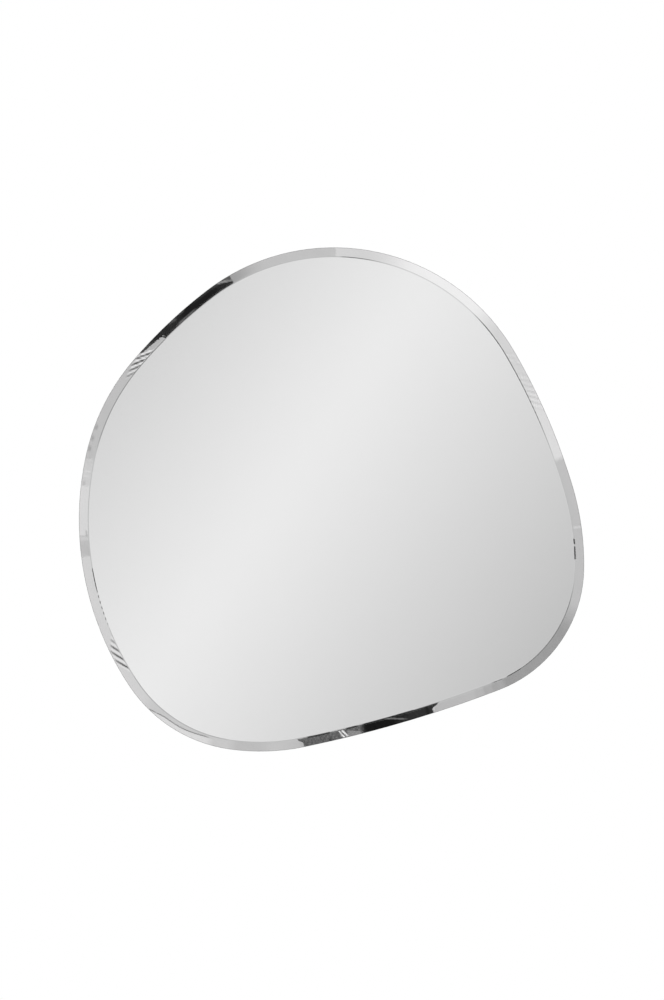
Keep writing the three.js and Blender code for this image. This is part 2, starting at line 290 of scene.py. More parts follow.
# %% [markdown]
# ## The studio that the mirror shows
#
# A mirror has no look of its own. In the photograph its face runs from near white at the upper left to a
# soft grey at the lower right, and every stretch of the bevel shows another piece of the studio, because the
# bevel turns each ray away by almost nine degrees, outwards from the rim.
#
# The studio is written as the world's light for each direction. Real panels could be set up, but each would
# have to be moved by trial until it shows at the right place. It is simpler to turn the question round: work
# out for each direction at which place on the bevel it shows, and write the studio as a list of those
# places.
#
# A point of the rim is its arc's centre c plus R times the way n that it faces. Its bevel shows the
# direction P / D - turn * n, with P the point and D the camera's distance. So D times a direction, less c,
# points straight back along n, which gives the place along the rim. Its length gives how far in the place
# lies, because the felt that polishes a bevel crowns it, so that it turns rays a little more towards the
# rim.

# %% Measures of the bevel as a mirror
D = DISTANCE / MM
BEVEL_WIDTH = 15.0  # mm
BEVEL_TURN = 0.1549  # slope by which the middle of the bevel turns a ray
CROWN = 0.0006  # change of the bevel's own slope, in radians for each mm from the middle
CROWN_TURN = 1.13 * CROWN  # what that adds to the ray's turn
FACE_REACH = 0.0175  # the farthest slope that the flat face shows


def shown_angle(normal):
    """The angle, in degrees, of what the middle of the bevel shows, for points that face these ways."""
    shown = outline(normal, BEVEL_WIDTH / 2 * MM) / MM / D - BEVEL_TURN * facing(normal)
    return np.degrees(np.arctan2(-shown[..., 1], -shown[..., 0]))


first_angle = shown_angle(arc_starts[0])
joint_angles = (shown_angle(arc_starts[1:-1]) - first_angle) % 360
print("the arcs' joints show at, in degrees:", np.round(joint_angles, 1))

# %% From a direction to a place on the bevel
world = bpy.data.worlds.new("studio")
start = paper(world)
direction = start.node("TexCoord", out="Generated")
x, y, z = direction.parts()
ahead = (y * -1).math("MAXIMUM", 0.02)
u, v = x / ahead, z / ahead
away = (u * u + v * v).math("SQRT")
angle = (v * -1).math("ARCTAN2", u * -1) * (180 / math.pi)
turned = (angle - (first_angle - 720)).math("MODULO", 360)
past_joint = [turned.math("GREATER_THAN", joint) for joint in joint_angles]


def by_arc(values):
    """A number that has one value for each arc: the first, plus each change once its joint is passed."""
    total = values[0]
    for past, change in zip(past_joint, np.diff(values)):
        total = past * change + total
    return total


centre_x, centre_z = (arc_centres / MM).T
radius = by_arc(arc_radii / MM)
back_x, back_z = u * D - by_arc(centre_x), v * D - by_arc(centre_z)
reach = (back_x * back_x + back_z * back_z).math("SQRT") + radius
faces = (back_z * -1).math("ARCTAN2", back_x * -1) * (180 / math.pi)
slip = (faces - angle + 540).math("MODULO", 360) - 180
arc_turned = arc_starts[:-1] - arc_starts[0]
along = (turned + slip + (first_angle - FIRST_NORMAL)) * radius * (math.pi / 180)
along += by_arc((arc_lengths[:-1] - arc_radii * arc_turned) / MM)
inset = (reach * -1 + D * (BEVEL_TURN + CROWN_TURN * BEVEL_WIDTH / 2)) / (D * CROWN_TURN - 1)
print("places run from 0 to", round(arc_lengths[-1] / MM), "mm along the rim, from the right-hand side")

# %% [markdown]
# Now the studio is a list: what stands where, in mm along the rim from the right-hand side, anticlockwise,
# how soft its two ends are, and the grey that the bevel shows there.

# %% Soft boxes and walls
SHOWN = 0.885  # share of the studio's light that bevel and silver give back
FACE_SHOWN = 0.925
STRAY = 0.03  # light that the bevel's own front surface adds
PLAIN_WALL = 190
ROUND_THE_BEVEL = (
    ("large soft box", 47.8, 575.8, 1.2, 0.8, 212),
    ("its near end", 47.8, 150, 1.2, 60, 220),
    ("its lamp", 302, 478, 70, 90, 240),
    ("wall beside it", 575.8, 690, 0.8, 60, 194),
    ("ceiling in shade", 724, 752, 70, 0.8, 168),
    ("wall beside the window", 1132, 1175, 20, 3, 203),
    ("window", 1174, 1254, 5, 2, 215),
    ("its post", 1256, 1262, 3, 3, 203),
    ("low soft box", 1288, 1560, 1.5, 60, 209),
    ("lower wall", 1560, 1705, 60, 20, 201),
    ("pale panel", 1762, 1815, 20, 2, 196),
    ("far wall", 2040, 2104, 2, 2, 193),
    ("first shadow", 2104, 2118, 3, 2, 187),
    ("second shadow", 2118, 2132, 2, 2, 177),
    ("third shadow", 2132, 2150, 2, 16, 169),
    ("floor in shade", 2150, 2312, 16, 60, 154),
)


def grey(tone):
    """The studio's light that makes the bevel show this grey."""
    return max(linear(tone) - STRAY, 0) / SHOWN


def stand_round(backdrop, things):
    """The light of things that stand one before another round a plain backdrop."""
    light = along * 0 + grey(backdrop)
    for _, first, last, soft_first, soft_last, tone in things:
        light = light.mix(grey(tone), along.between(first, last, soft_first, soft_last))
    return light


bevel_light = stand_round(PLAIN_WALL, ROUND_THE_BEVEL)
slanting_board = (along - inset * 0.5).between(1266, 1280, 6, 1.5)
bevel_light = bevel_light.mix(grey(187), slanting_board)
print(len(ROUND_THE_BEVEL), "things stand round the bevel")

# %% [markdown]
# The bevel's two dark stretches show a black flag at the upper left and a trestle below. Neither is plain:
# cloth and wood have lit folds and edges, and where the bevel was polished by hand their edges slant or
# break up into stripes. Lit folds add to the light, and shadows take a share of it away.

# %% The black flag
on_bevel = start.node("CombineXYZ", inputs={0: along * 0.07, 1: inset * 0.28 + along * 0.02})
folds = start.node("TexNoise", {"noise_dimensions": "2D"}, {"Vector": on_bevel, "Detail": 3.0})
folds = folds.rise(0.38, 0.78)
flag_end = 941 - inset.rise(2, 9.5) * 45
in_flag = along.rise(751, 752.6) * (along - flag_end).fall(-1, 1)
in_flag *= 1 - (inset - 12.8).math("MAXIMUM", 0) * along.fall(751, 754.5) * 0.6
cloth = folds * 0.05 + 0.012
cloth *= 1 - along.between(782, 852, 26, 20) * 0.75
cloth += (along + inset * 2.6).between(771, 781, 6) * along.between(750, 778, 1, 12) * 0.22
cloth += along.between(750, 767, 1, 8) * inset.fall(3.5, 7) * 0.09
cloth += along.between(764, 822, 10, 30) * inset.fall(1.5, 6) * 0.035
cloth += along.between(829, 864, 10, 14) * inset.between(11.0, 13.6, 1.6) * 0.11
cloth += along.between(843, 853, 5) * inset.fall(1.5, 4) * 0.07
cloth += along.between(861, 876, 6) * (inset + (along - 868) * 0.2).fall(2.5, 5.5) * 0.07
cloth += along.rise(912, 921) * 0.045
bevel_light = bevel_light.mix(cloth, in_flag)
print("the flag shows from 752 mm to between 896 and 941 mm")


# %% Stripes beside the flag, at the left heel and on the right shoulder
def comb(slant, crest, spacing):
    """Places along the rim, moved on by their inset times a slant, and a wave of this spacing over them."""
    slanting = along + inset * slant
    return slanting, ((slanting - crest) * (2 * math.pi / spacing)).math("COSINE")


slanting, wave = comb(1.85, 954.5, 14.5)
stripes = slanting.between(944, 1004, 5, 8) * (inset - (slanting - 955) * 0.16).rise(-0.5, 3)
stripes *= (1 - along.between(890, 922, 8, 8)) * (1 - slanting.rise(970, 1004) * 0.45)
bevel_light = (bevel_light - wave * stripes * 0.45).math("MAXIMUM", 0.012)

slanting, wave = comb(-1.6, 1458, 15.2)
dark = wave.math("MAXIMUM", 0).math("POWER", 0.9) * (slanting.rise(1395, 1440) * 0.7 + 0.3)
pale = (wave * -1).math("MAXIMUM", 0)
stripes = (inset + (slanting - 1442).math("MINIMUM", 0) * 0.28).rise(0.5, 3.5)
stripes *= slanting.between(1398, 1466, 14, 3)
bevel_light += (pale * 0.15 - dark * (inset.rise(1, 9) * 0.22 + 0.4)) * stripes

slanting, wave = comb(-0.8, 153.3, 10)
stripes = slanting.between(130, 189, 10) + slanting.between(207, 228, 10) * 0.7
bevel_light += wave * stripes * 0.14
print("stripes 14.5, 15.2 and 10 mm apart")

# %% A cord across the lower left, and small marks
cord_inset = along.rise(1545, 1588) * 8.2 + along.rise(1612, 1662) * 3.4
gap = inset - cord_inset
cord = (1 - gap.math("ABSOLUTE").rise(0.3, 1.05)) * along.between(1556, 1662, 4, 12)
cord *= 1 - along.between(1567, 1570, 3) * 0.8
lit = gap.fall(-1.7, -0.6) * along.between(1562, 1668, 20, 16)
bevel_light += lit * (0.1 + folds * 0.14) - cord * 0.48

SMALL_MARKS = (  # ends along the rim, softness, ends across, softness, change of light, how much it wanders
    (2456, 2459.5, 1.5, 1.5, 13, 2, 0.13, 0),
    (1074, 1082, 5, 1.2, 6, 2.4, -0.15, 0),
    (1093, 1101, 5, 1.2, 6, 2.4, -0.15, 0),
    (1110, 1118, 5, 1.2, 6, 2.4, -0.15, 0),
    (1131, 1133.5, 1.5, 3, 13, 4, 0.09, 3),
    (1150, 1152.5, 1.5, 3, 13, 4, 0.09, 3),
    (1158, 1160.5, 1.5, 3, 13, 4, 0.09, 3),
    (1129, 1131.5, 2, 2, 9, 2, -0.1, 3),
    (1167, 1174, 2, 2, 7, 2, -0.1, 3),
    (1247, 1256, 2, 10.5, 13.5, 2, -0.2, 3),
)
for first, last, soft, near, far, deep, change, wander in SMALL_MARKS:
    mark = (along + folds * wander).between(first, last, soft) * inset.between(near, far, deep)
    bevel_light += mark * change
for first, last in ((2406, 2427), (2431, 2440)):  # an arm and its knob
    bevel_light *= 1 - along.between(first, last, 1.5) * inset.rise(13.0, 13.8) * 0.8
print(len(SMALL_MARKS), "small marks")

# %% The trestle
left_end, right_end = 1820 - inset.rise(6, 13.5) * 8, inset.rise(6.5, 14) * 11 + 2032.5
in_trestle = (along - left_end).rise(-0.7, 0.7) * (along - right_end).fall(-0.7, 0.7)
worn = 1 - along.rise(1913, 1922)
grain = start.node("TexNoise", {"noise_dimensions": "1D"}, {"W": (along + inset * 0.4) * 0.2, "Detail": 3.0})
wood = worn * 0.05 + folds * (worn * 0.17 + 0.022) + grain.rise(0.45, 0.75) * (worn * 0.11 + 0.02) + 0.01
wood *= (1 - along.between(1922, 1972, 6, 26) * 0.6) * (1 - along.between(2021, 2026.5, 3) * 0.7)
wood *= 1 - along.between(1863, 1867.5, 2) * inset.fall(4, 7) * 0.5
wood += along.between(1893, 1914.5, 3, 1.5) * (inset + (along - 1895) * 0.316).fall(9.5, 12) * 0.17
wood += (along + inset * 3).between(1996, 2004, 5) * along.between(1957, 1987, 8, 14) * 0.15
wood += along.rise(1985, 2000) * 0.012
for first, last in ((1830.5, 1867), (1893, 1913)):
    wood *= 1 - along.between(first, last, 1.5) * inset.rise(12.6, 13.4) * 0.85
bevel_light = bevel_light.mix(wood, in_trestle)
bevel_light += (along - right_end).between(0.2, 3, 1, 3) * inset.between(4.5, 9, 3) * 0.2
for place in (1887, 1892):
    slash = (along + inset * 0.48).between(place - 1.3, place + 1.3, 0.9) * inset.between(1.2, 13.2, 1)
    bevel_light = bevel_light.mix(1.0, slash)
print("the trestle shows from about 1820 to 2033 mm")

# %% [markdown]
# Where the flat face meets the bevel, the glass is rounded over a millimetre or so. That narrow round shows
# everything from the camera's own surroundings out to the studio, so it draws a fine line, dark wherever a
# stand, a cable or the camera's hood is in the way.

# %% Round the lens
ROUND_THE_LENS = (
    ("stand", 100, 318, 90, 50, 20),
    ("grey card", 318, 480, 50, 60, 205),
    ("hood", 515, 566, 50, 8, 105),
    ("cable", 896, 1105, 12, 40, 140),
    ("window frame", 1175, 1250, 20, 4, 185),
    ("hook", 1309, 1345, 3, 8, 15),
    ("strap", 1345, 1400, 2, 24, 100),
    ("sill", 1500, 1690, 20, 20, 168),
    ("ledge", 1830.5, 1867, 1, 1, 15),
    ("second ledge", 1893, 1913, 1, 1, 50),
    ("third ledge", 1922, 2004, 1, 1, 10),
    ("tripod's foot", 2138, 2154, 2, 2, 8),
    ("tripod", 2163, 2192, 3, 6, 8),
    ("tripod's shadow", 2192, 2352, 6, 60, 118),
    ("arm", 2406, 2427, 2, 1, 8),
    ("arm's knob", 2431, 2440, 1, 2, 5),
)
crease_light = stand_round(PLAIN_WALL, ROUND_THE_LENS)
beads = (along * (2 * math.pi / 9.5)).math("SINE") * 0.5 + 0.5
strung = along.between(60, 205, 20, 110) + along.between(2446, 2530, 10) * 0.7
crease_light = crease_light.mix(grey(170), beads * strung * 0.6)
crease_light = crease_light.mix(grey(209), beads.rise(0.3, 0.6) * along.between(1346, 1410, 4))
print(len(ROUND_THE_LENS), "things stand round the lens")

# %% [markdown]
# The flat face shows only what lies within a degree of the camera: a pale wall, brightest a little left of
# and above the middle. All other directions are a pale room, for the other sides that the mirror may be seen
# from, with folds of paper that give it a soft fall of tone and broad panels that set its bevel off from its
# face. The bevel's front surface also gives back a little light by itself. Where that would wash out the
# flag and the trestle, the room has dark corners.

# %% The wall behind the camera, and the room
FACE_SLANT = math.radians(-35)  # the way in which the face's tone falls off
FACE_BRIGHTEST, FACE_FALL, FACE_ROUNDING = linear(236), 0.00066, 40  # light, light per mm, mm
FACE_PEAK = -75  # mm from the middle, along the slant

slope = (u * math.cos(FACE_SLANT) + v * math.sin(FACE_SLANT)) * D - FACE_PEAK
bow = (slope * slope + FACE_ROUNDING**2).math("SQRT") - FACE_ROUNDING
face_light = (FACE_BRIGHTEST - bow * FACE_FALL) / FACE_SHOWN

cloud = start.node("TexNoise", inputs={"Vector": direction, "Scale": 1.3, "Detail": 1.0})
paper_folds = ((x * 0.8 + z * 0.6) * 120 + cloud * 9).math("SINE")
panels = ((x * 0.55 - z * 0.85) * 13 + cloud * 5).math("SINE")
room = 0.88 - z.rise(0.0, 0.7) * 0.22 - (z * -1).rise(0.0, 0.8) * 0.14 - x.rise(-0.9, 0.9) * 0.06
room += paper_folds * 0.085 + panels.rise(-0.7, 0.7, -0.12, 0.01)
full_angle = (angle + 360).math("MODULO", 360)
DARK_CORNERS = ((296, 322, 0.25, 0.42), (99, 111, 0.25, 0.42), (114, 142, 0.6, 0.9), (277, 292, 0.6, 0.9))
for first, last, near, far in DARK_CORNERS:  # degrees round the line of sight, and slopes away from it
    room = room.mix(0.04, full_angle.between(first, last, 4) * away.between(near, far, 0.03, 0.05))

turn_mm = reach - BEVEL_WIDTH  # how far the round between face and bevel turns a ray, times D
edge_light = bevel_light.mix(crease_light, turn_mm.fall(0.1435 * D, 0.148 * D))

# %% [markdown]
# The photograph's background is pure white, so camera rays that pass the mirror meet a world of strength 1,
# and so do rays from metal and glass that look away from the studio. Plain surfaces take an even light, so
# that a colour renders about as it is written.


# %% White background, even light
def ray_kinds(start):
    """Two masks: rays that come from the camera, and rays that metal or glass sends on."""
    path = start.node("LightPath").out.node.outputs
    seen, glossy, through = [
        Wire(start.tree, path[f"Is {kind} Ray"]) for kind in ("Camera", "Glossy", "Transmission")
    ]
    return seen, glossy.math("MAXIMUM", through)


def mixed_light(share, a, b):
    """One light where share is 0 and another where it is 1. Cycles works out only the one that it needs."""
    return start.node("MixShader", inputs={0: share, 1: a, 2: b})


def shining(strength):
    return start.node("Background", inputs={"Color": strength})


EVEN = 0.62  # what the world gives to surfaces that scatter light
seen, mirrored = ray_kinds(start)
behind = y.rise(-0.05, 0.05)
off_face = away.rise(FACE_REACH + 0.001, FACE_REACH + 0.004)
near_rim = mixed_light(off_face, shining(face_light), shining(edge_light))
studio = mixed_light(away.rise(0.165, 0.235), near_rim, shining(room))
plain = shining(seen.math("MAXIMUM", mirrored * behind) * (1 - EVEN) + EVEN)
start.node("OutputWorld", inputs={"Surface": mixed_light(mirrored * (1 - behind), plain, studio)})
bpy.context.scene.world = world
print("nodes in the studio:", len(start.tree.nodes))

# %% [markdown]
# ## Plates with rounded edges
#
# The glass and the board are plates: one edge profile carried round the outline. No grinder leaves a
# perfectly sharp corner, and the small rounding there is what catches the light, so the profile's corners
# become short arcs. Each point also gets its exact normal from the same formula, so the bevel reflects as
# evenly as ground glass does, with no facets.


# %% Profiles
def side_of(heading):
    """The way in which a line faces that runs at this heading."""
    return np.stack([np.sin(heading), -np.cos(heading)], -1)


def rounded_profile(corners, radii, crowns=0.0, steps=4):
    """Points (out, y) along a convex profile, and the direction in which each one faces, as two arrays.

    At a corner the profile turns along an arc that starts radius * tan(turn / 2) before the corner. A run's
    crown turns the facing at its start by that much less, and at its end by that much more."""
    corners, radii, share = np.array(corners, float), np.array(radii), np.linspace(0, 1, steps + 1)
    step = np.diff(corners, axis=0)
    run = np.arctan2(step[:, 1], step[:, 0])
    crowns = run * 0 + crowns
    turn = run[1:] - run[:-1]
    faces = side_of(run[:-1, None] + turn[:, None] * share)
    begin = corners[1:-1] - (radii * np.tan(turn / 2))[:, None] * facing(run[:-1])
    centre = begin - radii[:, None] * faces[:, 0]
    arcs = (centre[:, None] + radii[:, None, None] * faces).reshape(-1, 2)
    begin, end = run[:-1, None] + crowns[:-1, None], run[1:, None] - crowns[1:, None]
    heading = np.concatenate([run[:1], (begin + (end - begin) * share).ravel(), run[-1:]])
    return np.concatenate([corners[:1], arcs, corners[-1:]]), side_of(heading)


def upright(flat, y):
    """Points in space from pairs (x, z), each with its y."""
    return np.stack([flat[..., 0], np.broadcast_to(y, flat.shape[:-1]), flat[..., 1]], -1)


# %% Meshes from grids
def grid_faces(rows, columns):
    """Quads between the rows and columns of a grid that closes on itself along each row.

    They face along the way from row to row, crossed with the way from column to column."""
    row, column = np.divmod(np.arange((rows - 1) * columns), columns)
    a, b = row * columns + column, row * columns + (column + 1) % columns
    return np.stack([a, a + columns, b + columns, b], -1)


def tube_faces(rows, columns):
    """The quads of a tube of rings, and a flat cap on each of its ends."""
    last = (rows - 1) * columns
    caps = [list(range(columns)), list(range(last + columns - 1, last - 1, -1))]
    return [*grid_faces(rows, columns).tolist(), *caps]


def smooth_mesh(name, points, faces):
    mesh = bpy.data.meshes.new(name)
    mesh.from_pydata(points.reshape(-1, 3).tolist(), [], faces)
    mesh.shade_smooth()
    return mesh


def stand_for(node, made, body="mirror"):
    """Lets a finished piece ride on a body and replace a CAD node, which it hides."""
    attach(made, body)
    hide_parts(node)


# %% Plates
def plate(name, corners, radii, around, crowns=0.0):
    """A closed plate: the profile (out from the rim, y) carried round the outline, with flat caps.

    Each point is the outline's point moved in by the profile's inset. It faces sideways as the rim does and
    along y as the profile does. Each corner of a face keeps, as the attribute rim, how far in from the rim
    and how far along it the corner is, in mm."""
    profile, faces_out = rounded_profile(corners, radii, crowns)
    normal = arc_starts[0] + full_turn(around)
    points = upright(outline(normal[None], -profile[:, :1]), profile[:, 1:])
    mesh = smooth_mesh(name, points, tube_faces(len(profile), around))
    normals = upright(facing(normal) * faces_out[:, None, :1], faces_out[:, 1:])
    mesh.normals_split_custom_set_from_vertices(normals.reshape(-1, 3).tolist())
    turn = np.append(normal, normal[0] + 2 * np.pi)
    arc = arc_of(turn)
    length = arc_lengths[arc] + arc_radii[arc] * (turn - arc_starts[arc])
    row, column = np.divmod(np.arange((len(profile) - 1) * around), around)
    rows, columns = row[:, None] + [0, 1, 1, 0], column[:, None] + [0, 0, 1, 1]
    rim = np.stack([-profile[rows, 0], length[columns], columns * 0], -1).reshape(-1, 3)
    cap = np.tile([-profile[0, 0], 0, 0], (2 * around, 1))
    attribute = mesh.attributes.new("rim", "FLOAT_VECTOR", "CORNER")
    attribute.data.foreach_set("vector", np.concatenate([rim, cap]).ravel() / MM)
    return placed(name, mesh)


# %% [markdown]
# ## The glass
#
# Light passes a mirror's front surface, crosses the glass, meets the silver and comes back out, and both
# passes through the sloping bevel bend it. A chrome-like sheet would be simpler, but it turns each ray twice
# as far, has no double line where face and bevel meet, and its rim shows no glass. So the piece is a closed
# body of clear glass with a little absorption, and its flat back wears a second material, the silver. The
# bevel is 15 mm wide and falls 2.2 mm, and its edge with the face is rounded over a good millimetre.

# %% Glass, as one swept body
GLASS_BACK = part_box("silver_coat")[0].y - 0.05 * MM  # the silver ends just short of its paint
BEVEL_DROP, RIM_ARRIS, CAP_INSET = 2.2 * MM, 0.5 * MM, 24 * MM
ROUNDINGS = np.array([9.0, 0.25, 0.2, 0.15]) * MM  # bevel's edge with the face, rim's front, both arris edges

glass = plate(
    "glass",
    [
        (-CAP_INSET, glass_front),
        (-BEVEL_WIDTH * MM, glass_front),
        (0, glass_front + BEVEL_DROP),
        (0, GLASS_BACK - RIM_ARRIS),
        (-RIM_ARRIS, GLASS_BACK),
        (-CAP_INSET, GLASS_BACK),
    ],
    ROUNDINGS,
    around=1440,
    crowns=[0, CROWN * BEVEL_WIDTH / 2, 0, 0, 0],
)
stand_for("mirror_glass", glass)
bevel_slope = math.degrees(math.atan(BEVEL_DROP / BEVEL_WIDTH / MM))
print("glass:", len(glass.data.polygons), "faces, bevel slope in degrees:", round(bevel_slope, 2))

# %% [markdown]
# No hand-guided bevel is perfectly even. The strong stripes at the turns of the outline are in the studio
# above, because waves steep enough to draw them would smear everything else. What is left are faint waves,
# about a thousandth of a millimetre high, that soften every edge which the bevel shows. A height map makes
# them.

# %% Polishing waves and clear glass
FAINT_SLOPE, WAVE_LENGTH = 0.0001, 14  # the waves' slope, and their length in mm


def rim_place(start):
    """How far in from the rim and how far along it a place is, in mm, as the plate keeps it."""
    return start.node("Attribute", {"attribute_name": "rim"}, out="Vector").parts()[:2]


def polishing(start):
    """The bevel's height in metres: faint waves along the rim, fainter still on its long flat side."""
    inset, length = rim_place(start)
    on_bevel = inset.between(0.5, 14.2, 0.6)
    steady = 1 - length.between(1700, 2160, 40) * 0.9
    sockets = {"W": (length + inset * 0.8) * (1 / WAVE_LENGTH), "Detail": 2.0}
    faint = start.node("TexNoise", {"noise_dimensions": "1D"}, sockets)
    return faint * steady * on_bevel * (FAINT_SLOPE * WAVE_LENGTH * MM)


clear, start = new_finish("clear_glass")
marks = start.node("Bump", inputs={"Height": polishing(start), "Distance": 1.0})
sockets = {"Base Color": (1, 1, 1, 1), "Roughness": 0.0, "IOR": 1.52, "Transmission Weight": 1.0}
sockets["Normal"] = marks
body = start.node("BsdfPrincipled", inputs=sockets)
tint = start.node("VolumeAbsorption", inputs={"Color": (0.11, 0.62, 0.37, 1), "Density": 4.0})
start.node("OutputMaterial", inputs={"Surface": body, "Volume": tint})
glass.data.materials.append(clear)
print("height of the waves in mm:", FAINT_SLOPE * WAVE_LENGTH)

# %% [markdown]
# The silver is a film far thinner than light's wavelength, so it takes the glass's own flatness. It gives
# back about nineteen parts in twenty, a little less of the green than of the red, which makes up for the
# glass's tint, so the mirror shows pure greys. Its strength varies by less than a hundredth, and the last
# millimetre at the rim is darker, where the paint seals it.


# %% Silver on the back of the glass
def noise(start, scale, detail=2.0, stretch=(1, 1, 1), roughness=0.5, swirl=0.0):
    """Noise on the object's own coordinates, this many lumps to a metre, drawn out or swirled if asked."""
    place = start.node("TexCoord", out="Object")
    turned = start.node("Mapping", inputs={"Vector": place, "Scale": stretch})
    sockets = {"Scale": scale, "Detail": detail, "Roughness": roughness, "Distortion": swirl}
    return start.node("TexNoise", inputs={"Vector": turned, **sockets})


silver, start = new_finish("silver")
inset, _ = rim_place(start)
strength = (0.945 + (noise(start, 9, 3) - 0.5) * 0.012) * (1 - inset.fall(0.4, 1.2) * 0.35)
colour = start.blend((0, 0, 0, 1), (1, 0.98, 0.99, 1), strength)
film = start.node("BsdfPrincipled", inputs={"Base Color": colour, "Metallic": 1.0, "Roughness": 0.0})
start.node("OutputMaterial", inputs={"Surface": film})
glass.data.materials.append(silver)

middles = np.empty(3 * len(glass.data.polygons))
glass.data.polygons.foreach_get("center", middles)
flat_back = np.abs(middles[1::3] - GLASS_BACK) < 0.001 * MM
glass.data.polygons.foreach_set("material_index", flat_back.astype(np.int32))
print("silvered faces:", int(flat_back.sum()))

# %% [markdown]
# ## The paint behind the silver
#
# Two coats of paint seal the silver. They fall on it as a curtain and dry in an oven, which leaves a matt
# grey-green skin with a faint orange peel and fine streaks along the way the glass moved. The CAD layer is
# right in shape, so it keeps its mesh and only gets its finish.


# %% Back paint
def dress(obj, material):
    obj.data.materials.clear()
    obj.data.materials.append(material)


paint, start = new_finish("back_paint")
streaks, peel = noise(start, 4, 3, (1, 1, 9)), noise(start, 900, 1)
base = coloured((122, 130, 126), (136, 143, 138), streaks.rise(0.3, 0.7))
solid_finish(start, base, 0.5 + (peel - 0.5) * 0.2, peel * 0.00004 + streaks * 0.00003)
dress(nodes["silver_coat"], paint)

# %% [markdown]
# ## Fibreboard
#
# The board is medium density fibreboard, 9 mm thick. Its faces are sanded, with fine dark and pale fibres
# lying every way, and its sawn edge is rougher and darker. It is carried round the same outline, 40 mm in,
# with its chamfer and a slightly broken edge. The CAD board has the pilot holes, which the straps cover.

# %% The board
BOARD_INSET, BOARD_CHAMFER, BOARD_CAP = 40 * MM, 3 * MM, 52 * MM
board_low, board_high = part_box("backing_board")
board = plate(
    "board",
    [
        (-BOARD_CAP, board_low.y),
        (-BOARD_INSET, board_low.y),
        (-BOARD_INSET, board_high.y - BOARD_CHAMFER),
        (-BOARD_INSET - BOARD_CHAMFER, board_high.y),
        (-BOARD_CAP, board_high.y),
    ],
    np.array([0.4, 0.5, 0.5]) * MM,
    around=720,
)
stand_for("backing_board", board)
print("board:", len(board.data.polygons), "faces")


# %% Fibres
def cells(start, scale):
    """How far the nearest of scattered points is, as a share of their spacing, this many to a metre."""
    place = start.node("TexCoord", out="Object")
    return start.node("TexVoronoi", {"feature": "F1"}, {"Vector": place, "Scale": scale}, "Distance")


fibre, start = new_finish("fibreboard")
clouds, fine, hairs = noise(start, 9, 3), noise(start, 700, 4, roughness=0.7), noise(start, 420, 3, swirl=2.5)
edge = 1 - start.node("NewGeometry", out="Normal").parts()[1].math("ABSOLUTE").rise(0.3, 0.95)
base = coloured((184, 154, 120), (200, 172, 138), clouds * 0.4 + fine * 0.6)
for colour, share in (
    ((150, 118, 84), hairs.rise(0.5, 0.72) * 0.5),  # dark fibres
    ((216, 192, 160), hairs.fall(0.28, 0.44) * 0.3),  # pale fibres
    ((112, 82, 54), cells(start, 260).fall(0.05, 0.12) * 0.5),  # specks of bark
    ((146, 114, 80), edge * 0.55),
):
    base = coloured(base, colour, share)
solid_finish(start, base, 0.78 + (fine - 0.5) * 0.2, fine * (0.00005 + edge * 0.00015))
dress(board, fibre)

# %% [markdown]
# ## Foam tape
#
# Mirror tape is closed-cell foam with glue on both faces. Only its edges show, in the gap between board and
# coat: off-white, matt and finely pitted, with painted shade that darkens the bottom of each pit.

# %% Foam
foam, start = new_finish("foam")
pits_and_pit_shade = cells(start, 2600)
# The colour is darker towards the middle of each pit, where the bump is lowest: painted shade in the pits.
base = coloured((196, 196, 190), (224, 223, 217), pits_and_pit_shade.rise(0.1, 0.6))
solid_finish(start, base, 0.8 + pits_and_pit_shade * 0.15, pits_and_pit_shade * 0.0001)
for name in nodes:
    if name.startswith("mounting_tape"):
        dress(nodes[name], foam)

# %% [markdown]
# ## Zinc and rubber
#
# Straps, rings and screws are steel with a thin coat of zinc. The strip is plated in the coil: cool, with
# rolling lines along it. The wire is tumbled bright. The screws are passivated, which leaves a yellow tinge
# in patches. One finish serves all three. The bumpers are moulded black rubber with a bloom of dust.


# %% Zinc, three times
def zinc_finish(name, cool, warm, roughness, lines=(1, 1, 1)):
    """Plated steel between two colours, this rough, with fine lines drawn out along an axis by this much."""
    zinc, start = new_finish(name)
    patches, scuffs = noise(start, 120, 3), noise(start, 400, 2, lines)
    base = coloured(cool, warm, patches.rise(0.35, 0.65))
    rough = patches * 0.14 + scuffs.rise(0.5, 0.7) * 0.1 + roughness
    solid_finish(start, base, rough, scuffs * 0.00002, metallic=1.0)
    return zinc


strip_zinc = zinc_finish("strip_zinc", (160, 163, 168), (171, 171, 169), 0.24, lines=(9, 1, 1))
wire_zinc = zinc_finish("wire_zinc", (166, 170, 178), (182, 182, 180), 0.16)
screw_zinc = zinc_finish("screw_zinc", (168, 164, 152), (180, 168, 128), 0.24)

# %% Rubber
rubber, start = new_finish("rubber")
grain, dust = noise(start, 1500, 3), noise(start, 90, 3)
base = coloured((38, 38, 40), (62, 61, 60), dust.rise(0.45, 0.75))
solid_finish(start, base, 0.62 + dust * 0.2, grain * 0.00008)

# %% [markdown]
# ## Bumpers
#
# Each small piece on the back is one closed skin: rings of points, one beside another, with quads between
# them. A bumper is a profile turned about its own axis: a foot on the board, sides that narrow a little so
# that it leaves its mould, a well rounded end, and in its middle the dimple where the rubber was let in.


# %% Closed skins, put in their places
SHARP = math.radians(32)  # edges that turn by more than this stay sharp


def skin(name, rings, closed=False):
    """A mesh of rings of points (rings, points, xyz), with flat caps, or closed on itself."""
    rows, around = rings.shape[:2]
    faces = tube_faces(rows, around)
    if closed:
        faces = (grid_faces(rows + 1, around) % (rows * around)).tolist()
    mesh = smooth_mesh(name, rings * MM, faces)
    mesh.set_sharp_from_angle(angle=SHARP)
    return mesh


